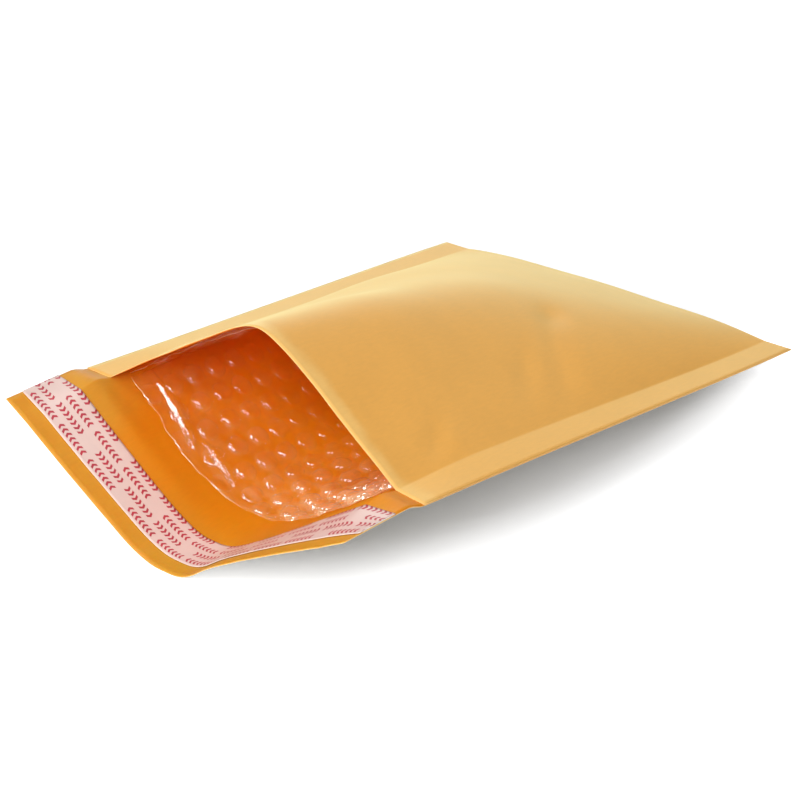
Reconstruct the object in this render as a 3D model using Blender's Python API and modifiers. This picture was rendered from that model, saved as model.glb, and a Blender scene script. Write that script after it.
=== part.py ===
"""A kraft bubble mailer lying open on its back.

One kraft sheet is folded at the far end into a back and a front panel, which are sealed along
both long sides. The back panel runs on past the mouth as the flap, which carries a strip of
adhesive under its release liner. Inside lies a bubble film, folded in the same way.
+X is the right side seen from the mouth, +Y points from the mouth to the fold, +Z is up.
The origin is on the table, under the middle of the mailer. All sizes are in metres.
"""

import math

import bmesh
import bpy
import numpy as np

# Cut and folded sizes of the mailer
POCKET_WIDTH = 0.190
POCKET_LENGTH = 0.242
FLAP_LENGTH = 0.042
SEAM_WIDTH = 0.013

# Thickness of the sheets and the clearance between them
PAPER_THICKNESS = 0.00035
FILM_THICKNESS = 0.00025
LINER_THICKNESS = 0.00020
ADHESIVE_THICKNESS = 0.00025
SHEET_CLEARANCE = 0.0004
SEAM_CLEARANCE = 0.0003
CORNER_CLEARANCE = 0.0008

# Bubble film
BUBBLE_PITCH = 0.012
BUBBLE_HEIGHT = 0.0036
FILM_SETBACK = 0.007
FILM_SIDE_GAP = 0.0035
BUBBLE_ROOM_SHARE = 0.9
BUBBLE_EDGE_SHARE = 0.4

# Adhesive strip and its release liner, measured from the flap's free edge
RELEASE_MARGIN = 0.008
RELEASE_WIDTH = 0.0185
ADHESIVE_INSET = 0.002

# How the opened mailer lies: heights above the table, left side first
CREST_HEIGHT = 0.0823
CREST_SWELL = 0.0075
CREST_OFFSET = 0.002
TROUGH_OFFSET = -0.004
MOUTH_SEAM_HEIGHTS = (0.0413, 0.0417)
RIM_CORNER_HEIGHTS = (0.0449, 0.0462)
FOLD_HEIGHT = 0.0147
FOLD_HALF_THICKNESS = 0.0042
REST_LENGTH = 0.145
RIM_SWELL = 0.0036
EDGE_LIFT = 0.0024
EDGE_LIFT_LENGTH = 0.009
MOUTH_RECESS = 0.0066

# Tilt of the side seams, positive where the outer edge hangs down, left side first
MOUTH_TILTS = (math.radians(1.0), math.radians(6.0))
BODY_TILTS = (math.radians(13.0), math.radians(14.0))
RIM_TILTS = (math.radians(-31.0), math.radians(-30.0))
TILT_LENGTH = 0.045

# Roundness of the sections, as shares of half a panel, and how far a bend pulls the sides in
CREST_ROUNDING = 0.13
FRONT_ROUNDING = 0.60
TROUGH_ROUNDING = 0.20
TROUGH_FLAT = 0.03
BODY_ROUNDING = 0.30
BODY_FLAT = 0.16
RIM_SWELL_START = 0.25
BEND_PULL = 0.88

# Shares of the pocket's length where the back panel has its full flat, and where both
# panels start to turn into the even pillow of the folded end
BODY_START = 0.5
PILLOW_START = 0.35

# Fineness of the folded sheet
PANEL_COLUMNS = 16
COLUMN_CROWDING = 0.28
FLAP_ROWS = 8
PANEL_ROWS = 12
FOLD_ROWS = 6
STRIP_ROWS = 3
SHARP_ANGLE = math.radians(35)

# Colour, roughness and opacity of each sheet
KRAFT_PAPER = ((0.68, 0.38, 0.10), 0.72, 1.0)
CLEAR_FILM = ((0.82, 0.52, 0.27), 0.25, 0.6)
ADHESIVE = ((0.85, 0.80, 0.62), 0.35, 1.0)
RELEASE_PAPER = ((0.85, 0.74, 0.72), 0.45, 1.0)

PANEL_HALF = POCKET_WIDTH / 2 - SEAM_WIDTH
MOUTH_Y = -(POCKET_LENGTH + FLAP_LENGTH) / 2 + FLAP_LENGTH
FOLD_LINE = FLAP_LENGTH + POCKET_LENGTH
SHEET_END = FLAP_LENGTH + 2 * POCKET_LENGTH


def clear_scene():
    """Remove every object of the open scene."""
    for old in list(bpy.data.objects):
        bpy.data.objects.remove(old, do_unlink=True)


def ease(value):
    """Smooth step from 0 to 1."""
    value = np.clip(value, 0.0, 1.0)
    return value * value * (3.0 - 2.0 * value)


def blend(start, end, share):
    """Straight blend between two values."""
    return start + (end - start) * share


def side_value(pair, side):
    """Value of a left and right pair, for side -1 or +1."""
    return np.where(side < 0, pair[0], pair[1])


def seam_edge_height(along, side):
    """Height of the mailer's side edge, along metres past the mouth."""
    mouth = side_value(MOUTH_SEAM_HEIGHTS, side)
    rim = side_value(RIM_CORNER_HEIGHTS, side)
    pocket = blend(mouth, FOLD_HEIGHT, np.clip(along / POCKET_LENGTH, 0.0, 1.0))
    reach = np.clip(-along / FLAP_LENGTH, 0.0, 1.0)
    flap = blend(mouth, rim, reach) + EDGE_LIFT * ease(-along / EDGE_LIFT_LENGTH) * (1 - reach)
    return np.where(along < 0, flap, pocket)


def seam_tilt(along, side):
    """Tilt of the side strip: it twists near the mouth and lies level at the fold."""
    mouth = side_value(MOUTH_TILTS, side)
    body = side_value(BODY_TILTS, side) * (1.0 - ease(along / POCKET_LENGTH))
    pocket = blend(mouth, body, ease(along / TILT_LENGTH))
    flap = blend(mouth, side_value(RIM_TILTS, side), ease(-along / FLAP_LENGTH))
    return np.where(along < 0, flap, pocket)


def crease_height(along, side):
    """Height of the line where the panels leave the side strip."""
    drop = SEAM_WIDTH * np.sin(seam_tilt(along, side))
    return seam_edge_height(along, side) + drop


def seam_half_gap(along):
    """Half the distance between the middles of the two paper layers in a seam."""
    clearance = blend(SEAM_CLEARANCE, CORNER_CLEARANCE, ease(along / POCKET_LENGTH))
    return (PAPER_THICKNESS + clearance) / 2


def bottom_height(along):
    """Height of the back panel's lowest line: on the table, then rising to the fold."""
    rise = np.clip((along - REST_LENGTH) / (POCKET_LENGTH - REST_LENGTH), 0.0, 1.0) ** 2
    return PAPER_THICKNESS / 2 + (FOLD_HEIGHT - FOLD_HALF_THICKNESS) * rise


def crest_height(along):
    """Height of the front panel's top line."""
    share = np.clip(along / POCKET_LENGTH, 0.0, 1.0)
    straight = blend(CREST_HEIGHT, FOLD_HEIGHT + FOLD_HALF_THICKNESS, share)
    return straight + CREST_SWELL * np.sin(math.pi * share)


def panel_half_chord(along):
    """Half the straight distance between the creases, from the sheet's width and its bend."""
    crease = (crease_height(along, -1) + crease_height(along, 1)) / 2
    depth = crease - bottom_height(along)
    rise = crest_height(along) - crease
    bend = np.where(along < 0, blend(rise + depth, 2 * depth, ease(-along / FLAP_LENGTH)),
                    rise + depth) / 2
    return np.sqrt(PANEL_HALF ** 2 - BEND_PULL * bend ** 2)


def bend_profile(share, rounding, flat):
    """Rounded V: 0 on the middle flat, 1 at both creases."""
    reach = np.maximum(np.abs(share) - flat, 0.0)
    full = np.sqrt((1.0 - flat) ** 2 + rounding ** 2) - rounding
    return (np.sqrt(reach ** 2 + rounding ** 2) - rounding) / full


def shifted(share, offset):
    """Share across the panel, counted from a middle line that is off centre."""
    return np.where(share < offset, (share - offset) / (1 + offset), (share - offset) / (1 - offset))


def rim_swell(share, along):
    """Height of the soft swell on the right half of the flap, greatest at its free edge."""
    right = np.clip(share, 0.0, 1.0)
    hump = ease(right / RIM_SWELL_START) * 4 * right * (1 - right)
    return RIM_SWELL * hump * ease(-along / FLAP_LENGTH)


def panel_point(across, along, front):
    """Point on one panel: across metres from the middle, along metres past the mouth."""
    side = np.where(across < 0, -1, 1)
    share = np.clip(across / PANEL_HALF, -1.0, 1.0)
    filled = np.clip(along / POCKET_LENGTH, 0.0, 1.0)
    half_chord = panel_half_chord(along)
    left, right = crease_height(along, -1), crease_height(along, 1)
    crease = blend(left, right, (share + 1) / 2)
    pillow = ease((filled - PILLOW_START) / (1 - PILLOW_START))
    half_gap = seam_half_gap(along)
    if front:
        centred = shifted(share, CREST_OFFSET / PANEL_HALF * (1 - filled))
        rounding = blend(CREST_ROUNDING, FRONT_ROUNDING, ease(filled))
        fall = blend(bend_profile(centred, rounding, 0.0), centred ** 4, pillow)
        height = crease + half_gap + (crest_height(along) - crease) * (1 - fall)
        recess = MOUTH_RECESS * (1 - filled) * (1 - fall)
    else:
        centred = shifted(share, TROUGH_OFFSET / PANEL_HALF * (1 - filled))
        body = ease(filled / BODY_START)
        rounding = blend(TROUGH_ROUNDING, BODY_ROUNDING, body)
        flat = blend(TROUGH_FLAT, BODY_FLAT, body)
        lift = blend(bend_profile(centred, rounding, flat), centred ** 4, pillow)
        low = bottom_height(along)
        height = low + (crease - half_gap - low) * lift + rim_swell(share, along)
        recess = 0.0
    strip = np.maximum(np.abs(across) - PANEL_HALF, 0.0)
    tilt = seam_tilt(along, side)
    x = share * half_chord + side * strip * np.cos(tilt)
    z = height - strip * np.sin(tilt)
    y = MOUTH_Y + along + recess
    return np.stack(np.broadcast_arrays(x, y, z), axis=-1)


def sheet_point(across, run):
    """Point on the folded sheet: run metres from the flap's free edge, round the fold."""
    ends = [panel_point(across, POCKET_LENGTH, front) for front in (False, True)]
    radius = np.linalg.norm(ends[1] - ends[0], axis=-1) / 2
    if abs(run - FOLD_LINE) < FOLD_HALF_THICKNESS:
        angle = (run - FOLD_LINE) / FOLD_HALF_THICKNESS * math.pi / 2
        along = POCKET_LENGTH - radius * (1 - math.cos(angle))
        share = (math.sin(angle) + 1) / 2
    else:
        front = run > FOLD_LINE
        share = 1.0 if front else 0.0
        along = (SHEET_END - run) if front else (run - FLAP_LENGTH)
        stretch = (POCKET_LENGTH - radius) / (POCKET_LENGTH - FOLD_HALF_THICKNESS)
        along = along * np.where(along > 0, stretch, 1.0)
    back = panel_point(across, along, False)
    return blend(back, panel_point(across, along, True), share)


def column_lines():
    """Places across the sheet of its mesh lines: closer at the middle and at the seams."""
    share = np.linspace(-1.0, 1.0, PANEL_COLUMNS + 1)
    crowded = np.sin(math.pi * share / 2) ** 3
    eased = (1 - COLUMN_CROWDING) * share + COLUMN_CROWDING * crowded
    strip = PANEL_HALF + SEAM_WIDTH * np.array([0.5, 1.0])
    return np.concatenate([-strip[::-1], eased * PANEL_HALF, strip])


def row_lines():
    """Places along the sheet of its mesh lines: flap, back panel, fold and front panel."""
    bend_start = FOLD_LINE - FOLD_HALF_THICKNESS
    bend_end = FOLD_LINE + FOLD_HALF_THICKNESS
    flap = np.linspace(0.0, FLAP_LENGTH, FLAP_ROWS + 1)
    back = np.linspace(FLAP_LENGTH, bend_start, PANEL_ROWS + 1)
    fold = np.linspace(bend_start, bend_end, FOLD_ROWS + 1)
    front = np.linspace(bend_end, SHEET_END, PANEL_ROWS + 1)
    return np.concatenate([flap, back[1:], fold[1:], front[1:]])


class FoldedSheet:
    """The paper's middle surface, which everything inside the mailer is laid on."""

    def __init__(self):
        self.columns = column_lines()
        self.rows = row_lines()
        self.points = np.array([sheet_point(self.columns, run) for run in self.rows])
        along_x = np.gradient(self.points, axis=1)
        along_run = np.gradient(self.points, axis=0)
        normals = np.cross(along_x, along_run)
        self.normals = normals / np.linalg.norm(normals, axis=-1, keepdims=True)

    def cell(self, lines, value):
        """Index of the mesh line below a value, and the share of the way to the next."""
        index = np.clip(np.searchsorted(lines, value, side="right") - 1, 0, len(lines) - 2)
        return index, (value - lines[index]) / (lines[index + 1] - lines[index])

    def at(self, across, run, lift=0.0):
        """Points lifted off the paper's middle towards the inside of the mailer."""
        i, u = self.cell(self.columns, across)
        j, v = self.cell(self.rows, run)
        u, v = u[..., None], v[..., None]

        def mixed(grid):
            """Mix of the corners of the triangle that holds the point."""
            start, end = grid[j, i], grid[j + 1, i + 1]
            lower = start + u * (grid[j, i + 1] - start) + v * (end - grid[j, i + 1])
            upper = start + v * (grid[j + 1, i] - start) + u * (end - grid[j + 1, i])
            return np.where(u >= v, lower, upper)

        normal = mixed(self.normals)
        normal /= np.linalg.norm(normal, axis=-1, keepdims=True)
        return mixed(self.points) + np.asarray(lift)[..., None] * normal

    def half_room(self, across, run):
        """Half the free distance between a point and the panel that faces it."""
        facing = np.clip(2 * FOLD_LINE - run, 0.0, SHEET_END)
        room = np.linalg.norm(self.at(across, run) - self.at(across, facing), axis=-1) / 2
        return room - PAPER_THICKNESS / 2


def plain_material(name, look):
    """Principled material in one colour, roughness and opacity."""
    colour, roughness, opacity = look
    material = bpy.data.materials.new(name)
    material.use_nodes = True
    shader = material.node_tree.nodes["Principled BSDF"]
    shader.inputs["Base Color"].default_value = (*colour, 1.0)
    shader.inputs["Roughness"].default_value = roughness
    shader.inputs["Metallic"].default_value = 0.0
    shader.inputs["Alpha"].default_value = opacity
    return material


def flat_grid(columns, rows):
    """Flat unit grid, and for each of its vertices the column and row it stands on."""
    mesh = bmesh.new()
    bmesh.ops.create_grid(mesh, x_segments=columns, y_segments=rows, size=0.5)
    mesh.verts.ensure_lookup_table()
    flat = np.array([vert.co for vert in mesh.verts])
    column = np.rint((flat[:, 0] + 0.5) * columns).astype(int)
    row = np.rint((flat[:, 1] + 0.5) * rows).astype(int)
    return mesh, column, row


def add_sheet(name, mesh, places, thickness, material, collection):
    """Move a grid's vertices to their places and make it a sheet of the given thickness."""
    for vert, place in zip(mesh.verts, places):
        vert.co = place
    data = bpy.data.meshes.new(name)
    mesh.to_mesh(data)
    mesh.free()
    data.materials.append(material)
    data.shade_smooth()
    data.set_sharp_from_angle(angle=SHARP_ANGLE)
    sheet = bpy.data.objects.new(name, data)
    collection.objects.link(sheet)
    solid = sheet.modifiers.new("Thickness", "SOLIDIFY")
    solid.thickness = thickness
    solid.offset = 0.0
    solid.use_even_offset = True
    return sheet


def add_paper(paper, collection):
    """The folded kraft sheet: flap, back panel, fold and front panel."""
    mesh, column, row = flat_grid(len(paper.columns) - 1, len(paper.rows) - 1)
    bmesh.ops.triangulate(mesh, faces=mesh.faces[:], quad_method="FIXED")
    places = paper.points[row, column]
    material = plain_material("kraft_paper", KRAFT_PAPER)
    return add_sheet("kraft_envelope", mesh, places, PAPER_THICKNESS, material, collection)


def add_bubble_film(paper, collection):
    """The folded bubble film: bubbles in rows along the pocket, each a six-sided dome."""
    cell = BUBBLE_PITCH / math.sqrt(3)
    half_width = PANEL_HALF - FILM_SIDE_GAP
    start = FLAP_LENGTH + FILM_SETBACK
    length = SHEET_END - FILM_SETBACK - start
    columns = max(4, round(2 * half_width / cell))
    rows = max(4, round(length / (BUBBLE_PITCH / 2)))
    mesh, column, row = flat_grid(columns, rows)
    inner = (column > 0) & (column < columns)
    shift = np.where(inner & (row % 2 == 1), 0.5, 0.0)
    across = ((column + shift) / columns * 2 - 1) * half_width
    across = np.clip(across, -half_width, half_width)
    run = start + row / rows * length
    for vert, x, y in zip(mesh.verts, across, run):
        vert.co = (x, y, 0.0)
    bmesh.ops.triangulate(mesh, faces=mesh.faces[:], quad_method="SHORT_EDGE")
    crown = np.where(row % 2 == 0, column % 3 == 0, column % 3 == 1)
    away = (row > 0) & (row < rows) & (np.abs(across) < half_width - BUBBLE_EDGE_SHARE * cell)
    base = PAPER_THICKNESS / 2 + SHEET_CLEARANCE + FILM_THICKNESS / 2
    room = paper.half_room(across, run) - SHEET_CLEARANCE - 2 * FILM_THICKNESS
    rise = np.clip(BUBBLE_ROOM_SHARE * (room - SHEET_CLEARANCE), 0.0, BUBBLE_HEIGHT)
    lift = base + np.where(crown & away, rise, 0.0)
    places = paper.at(across, run, lift)
    material = plain_material("clear_film", CLEAR_FILM)
    return add_sheet("bubble_liner", mesh, places, FILM_THICKNESS, material, collection)


def add_strip(name, paper, start, width, lift, thickness, material, collection):
    """A strip laid across the flap, from side edge to side edge."""
    columns = len(paper.columns) - 1
    mesh, column, row = flat_grid(columns, STRIP_ROWS)
    across = paper.columns[column]
    run = start + row / STRIP_ROWS * width
    places = paper.at(across, run, np.full(len(run), lift))
    return add_sheet(name, mesh, places, thickness, material, collection)


def add_closure(paper, collection):
    """The adhesive on the flap and the release liner over it."""
    glue_lift = PAPER_THICKNESS / 2 + SHEET_CLEARANCE + ADHESIVE_THICKNESS / 2
    liner_lift = glue_lift + (ADHESIVE_THICKNESS + LINER_THICKNESS) / 2 + SHEET_CLEARANCE
    glue = plain_material("adhesive", ADHESIVE)
    release = plain_material("release_paper", RELEASE_PAPER)
    add_strip("adhesive_strip", paper, RELEASE_MARGIN + ADHESIVE_INSET,
              RELEASE_WIDTH - 2 * ADHESIVE_INSET, glue_lift, ADHESIVE_THICKNESS, glue, collection)
    add_strip("release_liner", paper, RELEASE_MARGIN, RELEASE_WIDTH, liner_lift,
              LINER_THICKNESS, release, collection)


def main():
    clear_scene()
    collection = bpy.data.collections.new("padded_envelope")
    bpy.context.scene.collection.children.link(collection)
    paper = FoldedSheet()
    add_paper(paper, collection)
    add_bubble_film(paper, collection)
    add_closure(paper, collection)


main()
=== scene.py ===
"""An opened kraft bubble mailer on a pale table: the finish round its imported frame.

Every sheet is made flat, as it is cut, and then folded. On the flat sheet x is the distance
across from the middle, y is the run from the flap's free edge round the fold to the front
panel's mouth, and z is the height above the paper's middle, towards the inside.
Folded, +X is the right side seen from the mouth, +Y points to the fold and +Z is up.
All sizes are in metres.
"""

import math

import bmesh
import bpy
import numpy as np
from bpy.props import FloatProperty, FloatVectorProperty, IntProperty, PointerProperty
from mathutils import Matrix, Vector


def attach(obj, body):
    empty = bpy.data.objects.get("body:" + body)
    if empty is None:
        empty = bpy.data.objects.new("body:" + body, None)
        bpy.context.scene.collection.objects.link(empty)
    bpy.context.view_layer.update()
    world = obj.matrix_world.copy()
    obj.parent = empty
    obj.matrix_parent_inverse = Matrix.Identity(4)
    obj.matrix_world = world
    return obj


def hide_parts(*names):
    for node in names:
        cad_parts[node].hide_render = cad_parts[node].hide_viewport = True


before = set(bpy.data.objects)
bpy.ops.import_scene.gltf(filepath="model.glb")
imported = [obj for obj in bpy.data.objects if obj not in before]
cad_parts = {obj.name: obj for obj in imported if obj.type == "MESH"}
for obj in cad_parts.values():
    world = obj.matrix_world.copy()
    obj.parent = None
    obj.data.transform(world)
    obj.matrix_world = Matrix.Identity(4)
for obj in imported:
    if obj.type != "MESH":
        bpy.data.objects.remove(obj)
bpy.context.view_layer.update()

bl_info = {
    "name": "Bubble Mailer",
    "version": (1, 0, 0),
    "blender": (4, 5, 0),
    "location": "3D View > Sidebar > Mailer",
    "description": "Makes a kraft bubble mailer with its film, adhesive and release liner",
    "category": "Add Mesh",
}

# Cut sizes of the mailer, as in the frame
POCKET_WIDTH = 0.190
POCKET_LENGTH = 0.242
FLAP_LENGTH = 0.042
SEAM_WIDTH = 0.013
FILM_SETBACK = 0.007
FILM_SIDE_GAP = 0.0035
RELEASE_MARGIN = 0.008
RELEASE_WIDTH = 0.0185
ADHESIVE_INSET = 0.002

# How the opened mailer lies: heights above the table, left side first
CREST_HEIGHT = 0.0823
CREST_SWELL = 0.0075
CREST_OFFSET = 0.002
TROUGH_OFFSET = -0.004
MOUTH_SEAM_HEIGHTS = (0.0413, 0.0417)
RIM_CORNER_HEIGHTS = (0.0449, 0.0462)
FOLD_HEIGHT = 0.0147
FOLD_HALF_THICKNESS = 0.0042
REST_LENGTH = 0.145
RIM_SWELL = 0.0036
RIM_SWELL_START = 0.25
EDGE_LIFT = 0.0024
EDGE_LIFT_LENGTH = 0.009
MOUTH_RECESS = 0.0066
LAYER_STEP = 0.00035

# Tilt of the side seams, positive where the outer edge hangs down, left side first
MOUTH_TILTS = (math.radians(1.0), math.radians(6.0))
BODY_TILTS = (math.radians(13.0), math.radians(14.0))
RIM_TILTS = (math.radians(-31.0), math.radians(-30.0))
TILT_LENGTH = 0.045

# Roundness of the sections, as shares of half a panel, and how far a bend pulls the sides in
CREST_ROUNDING = 0.13
FRONT_ROUNDING = 0.60
TROUGH_ROUNDING = 0.20
TROUGH_FLAT = 0.03
BODY_ROUNDING = 0.30
BODY_FLAT = 0.16
BODY_START = 0.5
PILLOW_START = 0.35
BEND_PULL = 0.88

PANEL_HALF = POCKET_WIDTH / 2 - SEAM_WIDTH
MOUTH_Y = -(POCKET_LENGTH + FLAP_LENGTH) / 2 + FLAP_LENGTH
FOLD_LINE = FLAP_LENGTH + POCKET_LENGTH
SHEET_END = FLAP_LENGTH + 2 * POCKET_LENGTH

# Dents pressed into the front panel: across, metres past the mouth, turn, length, width, depth
FRONT_DENTS = (
    (0.052, 0.126, math.radians(-43), 0.034, 0.0055, -0.0006),
    (0.062, 0.134, math.radians(-43), 0.028, 0.0045, 0.0002),
    (0.036, 0.146, math.radians(-60), 0.010, 0.0060, -0.0010),
    (0.057, 0.101, math.radians(-50), 0.020, 0.0045, -0.0006),
    (0.074, 0.029, math.radians(-50), 0.014, 0.0040, -0.0006),
    (0.079, 0.035, math.radians(-50), 0.012, 0.0040, 0.0005),
    (-0.030, 0.090, math.radians(20), 0.040, 0.0200, -0.0005),
    (0.020, 0.060, math.radians(-15), 0.040, 0.0180, 0.0005),
)

# The paper's soft waves and its edges' ripple: height, and length across and along the run. The
# dents and waves fade towards the seams
PAPER_SWELL = (0.00035, 0.031, 0.043)
EDGE_RIPPLE = (0.00025, 0.012, 0.05)
EDGE_RIPPLE_WIDTH = 0.02
DENT_FADE = 0.012

# Distances between the paper's mesh lines beside a seam and round the fold
SEAM_STEP = 0.0006
FOLD_STEP = 0.0007

# Runs over which the paper's painted colours come in: shade in the flap, glow in the pocket, and a
# highlight at the front's cut edge
FLAP_PAINTED_SHADE_RUN = (0.012, 0.050)
POCKET_PAINTED_GLOW_RUN = (0.058, 0.120)
PALE_HIGHLIGHT_RUN = (SHEET_END - 0.003, SHEET_END + 0.003)

# How rough the paper's two sides are
INNER_ROUGHNESS = 0.50
OUTER_ROUGHNESS = 0.56

# How much of the pale colour the side strips show, as painted light, and the grey that scattered light
# meets on the outer side, which paints the table's shadow under the mailer grey instead of brown
PALE_SEAM_LIGHT_SHARE = 0.4
GREY_BOUNCE_COLOUR = (0.32, 0.30, 0.28, 1.0)

# Creases where the film stands off the back panel: across and along of both ends, height, width of
# the steep face towards the mouth
FILM_CREASES = (
    ((-0.079, 0.0180), (-0.042, 0.0129), 0.0030, 0.00195),
    ((-0.045, 0.0178), (-0.022, 0.0146), 0.0028, 0.00182),
)

# Heights of a crease at which its face is smooth and its domes are pressed flat
CREASE_SMOOTH_HEIGHT = 0.0006
CREASE_FLAT_HEIGHT = 0.0012

# Where the film near its cut edge lies flat: along and up to which side of the middle, each with
# the distance over which that fades
FLAT_FILM_END, FLAT_FILM_END_FADE = 0.0165, 0.003
FLAT_FILM_SIDE, FLAT_FILM_SIDE_FADE = -0.008, 0.02

# The film's cut edge: how far in it wanders, its waves, and its dips as depth, place and width
CUT_REACH = 0.012
CUT_WAVE = (0.0010, 0.021, 1.0)
CUT_FINE_WAVE = (0.0004, 0.005, 1.0)
CUT_DIP = (0.0022, -0.045, 0.02)
CUT_RIGHT_DIP = (0.0035, 0.018, 0.03)

# The film: its lift above the paper's middle, its wrinkles as height and length across and along the
# run, its curling rim, the dents in its domes, and how its creases press domes flat and waver
FILM_REST = 0.00050
FILM_WRINKLE = (0.00030, 0.0061, 0.0043)
FILM_FINE_WRINKLE = (0.00018, 0.0027, 0.0052)
FILM_CURL = 0.0007
FILM_CURL_WIDTH = 0.0020
FILM_CURL_LENGTH = 0.006
DOME_DENT = 0.00060
DOME_DENT_SIZE = 0.0026
CREASED_DOME_LOSS = 0.85
CREASE_WAVER = 0.0004

# Free space that the film keeps to the facing panel's middle, and the least lift it may have
FILM_CLEARANCE = 0.0006
LEAST_FILM_LIFT = 0.00027

# Distances between the film's mesh lines: across, by the cut edge, under the creases, elsewhere
FILM_COLUMN_STEP = 0.0016
FILM_EDGE_STEP = 0.0008
FILM_EDGE_WIDTH = 0.003
FILM_CREASE_STEP = 0.0004
FILM_CREASE_WIDTH = 0.0145
FILM_BODY_STEP = 0.0028

# Chevrons on the release liner: their slant, half their stroke, their tip, the shift from row to row,
# the places in a group and in a repeat, and those of a repeat that are shown
CHEVRON_SLANT = 0.62
CHEVRON_STROKE = 0.00052
CHEVRON_TIP = 0.15
CHEVRON_ROW_SHIFT = 0.0237
CHEVRON_GROUP = 8.0
CHEVRON_REPEAT = 27.0
CHEVRON_SHOWN = 23.5
INK_SHARE = 0.95
FIRST_ROW = RELEASE_MARGIN + 0.0002

# Air between the paper, the glue and the liner, and the distances between their mesh lines
CLOSURE_GAP = 0.00005
CLOSURE_STEP = 0.0015
LINER_ROW_STEP = 0.0010
LINER_EDGE_COLOUR = (0.90, 0.84, 0.80, 1.0)

# Film faces that one ray of light may cross on its way about the pocket
FILM_LAYERS_CROSSED = 40

# Share of the light that clear film mirrors when it is seen straight on, and at a slant
FACING_SHINE = 0.12
GLANCING_SHINE = 0.16

# Share of its mirroring that the film under the front panel loses, as painted shade
UPPER_SHADED_SHINE_LOSS = 0.4

# Run over which the film's haze and mirroring fade, as painted shade deep in the pocket, and the share
# of them left beyond it
FILM_SHADE_RUN = (FLAP_LENGTH + 0.025, FLAP_LENGTH + 0.085)
DEEP_SHADE_SHARE = 0.25

# The table's own light outside an ellipse about the mailer: the ellipse's reach and middle, the
# share of it at which the light begins to rise, and the light's least and greatest level
GLOW_RIGHT = 0.103
GLOW_LEFT = 0.30
GLOW_LENGTH = 0.207
GLOW_MIDDLE = 0.05
GLOW_START = 0.68
GLOW_NEAR = 0.12
GLOW_FAR = 0.75
GLOW_COLOUR = (0.92, 0.93, 0.95, 1.0)

SAMPLE_STEP = 1e-4
NOISE_CELLS = 64
TABLE_HEIGHT = -0.0004
TABLE_HALF = 6.0

# Lamps: name, place, width and height, the setting of their level and their share of it
LAMPS = (
    ("key_lamp", (1.28, -1.53, 1.70), (0.9, 0.9), "key_level", 1.0),
    ("front_lamp", (1.27, -1.81, 1.20), (0.6, 0.6), "front_level", 1.0),
    ("top_lamp", (-0.20, 0.20, 2.60), (1.5, 1.5), "top_level", 1.0),
    ("high_mouth_lamp", (-0.60, -1.00, 2.00), (0.35, 0.35), "mouth_level", 0.5),
    ("low_mouth_lamp", (-0.50, -2.00, 1.15), (0.6, 0.8), "mouth_level", 1.0),
    ("back_lamp", (-1.60, 1.90, 1.00), (1.4, 1.4), "back_level", 1.0),
)
LAMP_AIM = (0.0, 0.0, 0.03)
CAMERA_AIM = (0.00355, -0.01378, 0.0221)

# Share of the world's light that a mirroring face shows
MIRRORED_WORLD = 0.4


class MailerPaperSettings(bpy.types.PropertyGroup):
    """Sizes and colours of the kraft sheet."""

    thickness: FloatProperty(
        name="Thickness", description="Thickness of the kraft sheet",
        default=0.00028, min=0.0001, max=0.001, unit="LENGTH")
    outer_colour: FloatVectorProperty(
        name="Outer Colour", description="Colour of the outer side",
        default=(0.755, 0.347, 0.054, 1.0), min=0.0, max=1.0, size=4, subtype="COLOR")
    # Painted glow: the inner side deep in the pocket, a redder, richer orange for light bounced about
    # inside and shining through the paper
    pocket_painted_glow_colour: FloatVectorProperty(
        name="Inner Colour", description="Colour of the inner side",
        default=(0.990, 0.330, 0.004, 1.0), min=0.0, max=1.0, size=4, subtype="COLOR")
    # Painted shade: the middle of the flap, a deeper orange than its margin
    flap_painted_shade_colour: FloatVectorProperty(
        name="Flap Colour", description="Colour of the inner side in the middle of the flap",
        default=(0.680, 0.226, 0.004, 1.0), min=0.0, max=1.0, size=4, subtype="COLOR")
    # Painted light: the flap's margin, a lighter, yellower orange where more light falls
    margin_painted_light_colour: FloatVectorProperty(
        name="Margin Colour", description="Colour of the inner side by the flap's free edge",
        default=(0.605, 0.280, 0.022, 1.0), min=0.0, max=1.0, size=4, subtype="COLOR")
    # Painted highlight along the front's cut edge, and painted light on the side strips
    pale_painted_highlight_colour: FloatVectorProperty(
        name="Pale Colour", description="Colour of the outer side by the front's cut edge and seams",
        default=(0.810, 0.455, 0.120, 1.0), min=0.0, max=1.0, size=4, subtype="COLOR")
    edge_colour: FloatVectorProperty(
        name="Edge Colour", description="Colour of the cut edges",
        default=(0.900, 0.560, 0.190, 1.0), min=0.0, max=1.0, size=4, subtype="COLOR")
    grain: FloatProperty(
        name="Grain", description="Strength of the fibre grain",
        default=0.035, min=0.0, max=1.0)
    glow: FloatProperty(
        name="Glow", description="How much light comes through the sheet to its inner side",
        default=0.40, min=0.0, max=1.0)
    column_step: FloatProperty(
        name="Mesh Step", description="Distance between the mesh lines of the sheet",
        default=0.0022, min=0.001, max=0.01, unit="LENGTH")


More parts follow.
